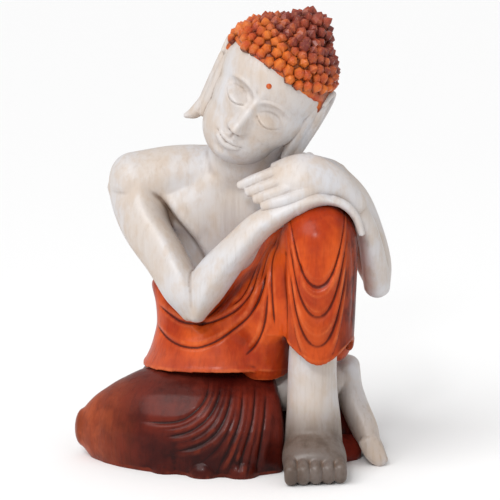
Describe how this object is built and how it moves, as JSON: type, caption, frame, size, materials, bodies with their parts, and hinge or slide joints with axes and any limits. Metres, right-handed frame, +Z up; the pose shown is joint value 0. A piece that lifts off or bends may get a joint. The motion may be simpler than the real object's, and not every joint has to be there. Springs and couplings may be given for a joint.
{
  "type": "seated Buddha statue",
  "caption": "Carved wooden Buddha, seated and resting its tilted head on arms crossed over a raised knee, in a draped robe, with a flat underside.",
  "frame": {"origin": "on the sawn underside, under the middle of the figure's box", "axes": "+Z up the figure, -Y the way the raised knee and the chest face, +X to the figure's left"},
  "size_m": [0.2838, 0.1966, 0.4002],
  "materials": {
    "painted_wood": "satin, whitewashed skin and lacquered robe"
  },
  "bodies": {
    "root": {"figure": "painted_wood"}
  },
  "joints": []
}
